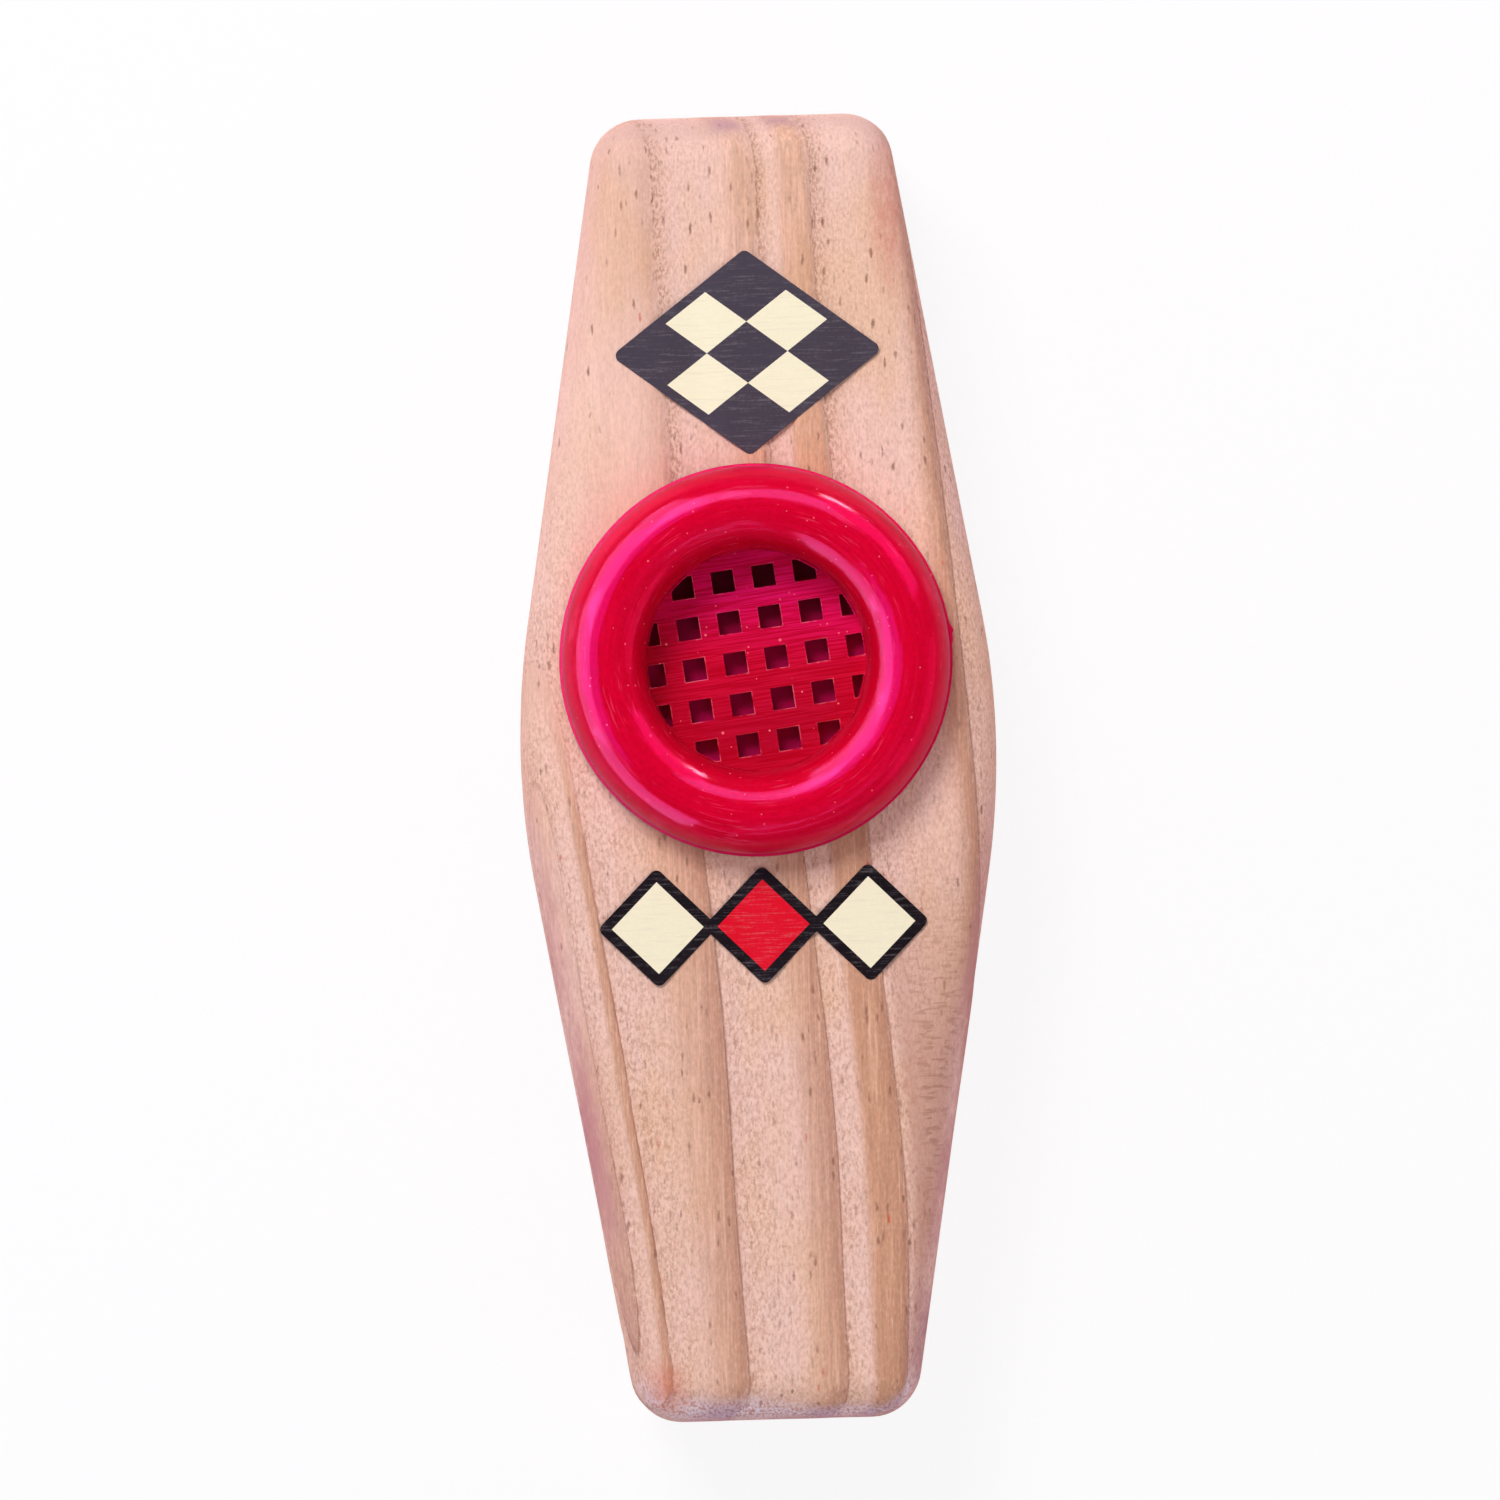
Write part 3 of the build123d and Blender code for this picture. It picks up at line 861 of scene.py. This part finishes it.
# The two stickers are printed paper with a satin face, pressed on to the brushed wood, so they follow its
# ridges a little. The upper one is a diamond of small diamonds, and the lower one a row of three lozenges.
upper_low, upper_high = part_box("upper_sticker")
lower_low, lower_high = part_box("lower_sticker")
diamond_y = (upper_low.y + upper_high.y) / 2
row_y = (lower_low.y + lower_high.y) / 2
diamond_half = (13.5 * mm, 10.25 * mm)
lozenge_half = (6 * mm, 6 * mm)
lozenge_pitch = 10.5 * mm
sticker_thickness = 0.12 * mm
sticker_corner = 0.7 * mm
sticker_bevel = 0.03 * mm
press = 0.6
bridge_shifts = np.linspace(-3.6, 3.6, 19) * mm
bridge_window = 13
cream = srgb(244, 236, 206)
charcoal = srgb(66, 61, 71)
black = srgb(14, 12, 14)
print_red = srgb(222, 10, 38)


def lozenge_half_height(along, half_width, half_height):
    """Half the height of a lozenge at a distance from its middle: straight edges, with a rounded top corner
    and a rounded tip, both arcs that touch the edges."""
    away = np.abs(along)
    edge = math.hypot(half_width, half_height)
    top_centre = half_height - sticker_corner * edge / half_width
    tip_centre = half_width - sticker_corner * edge / half_height
    touch = sticker_corner * half_height / edge
    straight = half_height * (1 - away / half_width)
    top = top_centre + np.sqrt(np.clip(sticker_corner ** 2 - away ** 2, 0, None))
    tip = np.sqrt(np.clip(sticker_corner ** 2 - (away - tip_centre) ** 2, 0, None))
    return np.where(away < touch, top, np.where(away > tip_centre + touch, tip, straight))


def sticker_surface(middle_y, half_width, half_height, centres, stations, across):
    """A sticker as a flat loop carried from its left tip to its right one: over its face, round its cut edge
    and back underneath. Its height is the mean of the highest wood near each point, so it bridges grooves."""
    edge = math.hypot(half_width, half_height)
    end = max(centres) + half_width - sticker_corner * edge / half_height + sticker_corner
    x = end * np.sin(np.linspace(-math.pi / 2, math.pi / 2, stations))
    half = np.max([lozenge_half_height(x - centre, half_width, half_height) for centre in centres], axis=0)
    over = np.linspace(-1, 1, across)
    loop = np.concatenate([[-1], over, [1], over[::-1]])
    cut = np.concatenate([[0], np.full(across, sticker_bevel), [0], np.zeros(across)])
    rise = np.concatenate([[0.7], np.ones(across), [0.7], np.zeros(across)]) * sticker_thickness
    y = middle_y + loop[None] * np.clip(half[:, None] - cut[None], 0, None)
    x = np.broadcast_to(x[:, None], y.shape)
    z = np.full(y.shape, front)
    nearby = np.stack([brushed_depth(np.stack([x + shift, y, z], -1)) for shift in bridge_shifts])
    starts = range(len(bridge_shifts) - bridge_window + 1)
    bridged = np.stack([nearby[first:first + bridge_window].min(0) for first in starts]).mean(0)
    return np.stack([x, y, front - press * bridged + rise[None]], -1)


diamond_shape = sticker_surface(diamond_y, *diamond_half, [0], stations=241, across=49)
row_centres = [-lozenge_pitch, 0, lozenge_pitch]
row_shape = sticker_surface(row_y, *lozenge_half, row_centres, stations=361, across=29)
upper_sticker = grid_piece("diamond_sticker", diamond_shape, sharp_degrees=40)
lower_sticker = grid_piece("lozenge_sticker", row_shape, sharp_degrees=40)


def diamond_distance(x, y, half):
    """How far out a point lies in a diamond, 0 in the middle and 1 on its edge, and its place along the two
    slanting directions, each from -1 to 1."""
    across = maths("DIVIDE", x, half[0] / mm)
    upright = maths("DIVIDE", y, half[1] / mm)
    rising, falling = maths("ADD", across, upright), maths("SUBTRACT", across, upright)
    out = maths("MAXIMUM", maths("ABSOLUTE", rising), maths("ABSOLUTE", falling))
    return out, rising, falling


def finish_print(shader, colour):
    """The satin face of a print: fine level scuffs that show pale in the ink, and a slight mottle."""
    face_place = millimetre_coordinates(shader.id_data)
    scuffs = placed_group(fine_lines, Place=face_place, Lines_per_mm=6.0, Length_in_mm=3.0)
    mottle = noise(face_place, 3.2, 2.0, 0.6)
    worn = mask(line(scuffs, 0.75, product(mottle, 0.25)), 0.50, 0.72)
    colour = coated(colour, (product(worn, 0.16), srgb(176, 168, 172)))
    set_inputs(shader, {
        "Base Color": brighten(colour, varied(mottle, 0.12)),
        "Roughness": line(worn, 0.2, 0.5), "Specular IOR Level": 0.035,
        "Normal": fine_relief(mottle, 0.25, 0.05 * mm),
    })


diamond_print, tree, shader = new_material("diamond_print")
place = axes(millimetre_coordinates(tree, centre=(0, diamond_y, 0)))
out, rising, falling = diamond_distance(place["X"], place["Y"], diamond_half)
border = 0.11
cells_across = 3
cells_per_unit = cells_across / (2 * (1 - border))
counts = [maths("FLOOR", line(slant, cells_per_unit, cells_across / 2)) for slant in (rising, falling)]
odd = maths("PINGPONG", maths("ADD", *counts), 1.0)
in_border = maths("GREATER_THAN", out, 1 - border)
inked = maths("MAXIMUM", maths("SUBTRACT", 1.0, odd), in_border)
finish_print(shader, mix_colour(inked, cream, charcoal))
fit_piece(upper_sticker, diamond_print, "kazoo_body", "upper_sticker")

lozenge_print, tree, shader = new_material("lozenge_print")
place = axes(millimetre_coordinates(tree, centre=(0, row_y, 0)))
pitch = lozenge_pitch / mm
inner_share = 0.76
which = maths("ROUND", maths("DIVIDE", place["X"], pitch))
own_x = line(which, -pitch, place["X"])
out = diamond_distance(own_x, place["Y"], lozenge_half)[0]
ink = mix_colour(maths("ABSOLUTE", which), print_red, cream)
outlined = maths("GREATER_THAN", out, inner_share)
finish_print(shader, mix_colour(outlined, ink, black))
fit_piece(lower_sticker, lozenge_print, "kazoo_body", "lower_sticker")

# The camera looks straight down on the front, from far enough that little else shows. The head end is up in
# the picture and leans a little to the left.
pixels_per_metre = 10.03 / mm
picture_width = 1500
widest_level = 17.5 * mm
lean = math.radians(1.64)
camera_height = 0.9
camera = bpy.data.cameras.new("camera")
camera.sensor_width = 36
camera.lens = camera.sensor_width * (camera_height - widest_level) * pixels_per_metre / picture_width
camera.clip_end = 20
viewer = new_object("camera", camera)
viewer.location = (-0.85 * mm, 1.8 * mm, camera_height)
viewer.rotation_euler = (0, 0, -lean)
bpy.context.scene.camera = viewer

# The light is a soft panel over the head end and a dimmer one over the tail end, which light the object and
# stay out of its gloss. Windows round the left and the head end, three coloured glows, a small lamp and two
# thin strips show in the gloss alone. The walls are pale, and dimmer in the gloss.
def add_light(name, azimuth, elevation, distance, width, height, glow, colour=(1, 1, 1)):
    """A rectangular soft light at an azimuth from +X and an elevation, in degrees, turned to face the object.
    Its glow is its brightness, where 1 is white paper in full light."""
    level, lift = math.radians(azimuth), math.radians(elevation)
    lamp = bpy.data.lights.new(name, "AREA")
    lamp.shape = "RECTANGLE"
    lamp.size, lamp.size_y = width, height
    lamp.energy = glow * math.pi * width * height
    lamp.color = colour
    light = new_object(name, lamp)
    toward = Vector((math.cos(lift) * math.cos(level), math.cos(lift) * math.sin(level), math.sin(lift)))
    light.location = Vector((0, 0, front)) + toward * distance
    light.rotation_euler = (-toward).to_track_quat("-Z", "Y").to_euler()
    return light


for panel in (
    ("head_panel", 117, 50, 0.75, 0.30, 0.30, 14.4),
    ("tail_panel", -45, 52, 0.75, 0.60, 0.60, 1.3),
):
    add_light(*panel).visible_glossy = False
for window in (
    ("head_window", 92, 48, 0.5, 0.40, 0.22, 9.3),
    ("head_left_window", 136, 33, 0.5, 0.40, 0.40, 9.3),
    ("left_window", 180, 29, 0.5, 0.40, 0.37, 9.3),
    ("tail_left_window", 223, 24, 0.5, 0.40, 0.29, 9.3),
    ("left_glow", 160, 48, 0.5, 0.52, 0.46, 6.4, (0.9, 0.25, 1)),
    ("right_glow", 45, 30, 0.5, 0.34, 0.28, 11.6, (1, 0.12, 0.35)),
    ("right_low_glow", -18, 18, 0.5, 0.45, 0.20, 5.0, (1, 0.1, 0.2)),
    ("small_lamp", 62, 16, 0.5, 0.08, 0.05, 100.0, (0.6, 1, 0.5)),
    ("high_strip", -72, 47, 0.5, 0.30, 0.02, 8.7),
    ("low_strip", -80, 30, 0.5, 0.34, 0.015, 8.7),
):
    add_light(*window).visible_diffuse = False

world = bpy.data.worlds.new("pale_room")
bpy.context.scene.world = world
world.use_nodes = True
room = world.node_tree
direction = first_node(room, "ShaderNodeTexCoord").outputs["Generated"]
walls = add_node("ShaderNodeValToRGB", {"Fac": axes(direction)["Z"]})
wall_stops = [(0.0, (0.50, 0.44, 0.55, 1)), (0.45, (0.34, 0.32, 0.34, 1)), (1.0, (0.22, 0.22, 0.22, 1))]
walls.color_ramp.elements.new(1.0)
for element, (position, colour) in zip(walls.color_ramp.elements, wall_stops):
    element.position = position
    element.color = colour
rays = first_node(room, "ShaderNodeLightPath").outputs
set_inputs(room.nodes["Background"], {
    "Color": mix_colour(rays["Is Camera Ray"], walls.outputs["Color"], (1, 1, 1, 1)),
    "Strength": line(rays["Is Glossy Ray"], -0.65, 1.0),
})

# The floor is a plain white table. Seen straight on it is nearly white paper, and it still takes the shadow.
# In the gloss it is dimmer.
reach = 6.0
floor_corners = [(-reach, -reach, 0), (reach, -reach, 0), (reach, reach, 0), (-reach, reach, 0)]
floor_mesh = bpy.data.meshes.new("floor")
floor_mesh.from_pydata(floor_corners, [], [(0, 1, 2, 3)])
floor = new_object("floor", floor_mesh)
white_table, tree, shader = new_material("white_table")
set_inputs(shader, {"Base Color": (0.87, 0.83, 0.90, 1), "Roughness": 0.9})
rays = first_node(tree, "ShaderNodeLightPath").outputs
seen = maths("ADD", rays["Is Camera Ray"], rays["Is Glossy Ray"])
seen = maths("ADD", seen, rays["Is Transmission Ray"], clamp=True)
brightness = line(rays["Is Glossy Ray"], -0.6, 1.0)
paper = add_node("ShaderNodeEmission", {"Strength": brightness}).outputs[0]
paper_share = product(seen, 0.88)
table = add_node("ShaderNodeMixShader", {0: paper_share, 1: shader.outputs[0], 2: paper}).outputs[0]
set_inputs(tree.nodes["Material Output"], {"Surface": table})
floor_mesh.materials.append(white_table)

bpy.context.scene.view_settings.view_transform = "Standard"
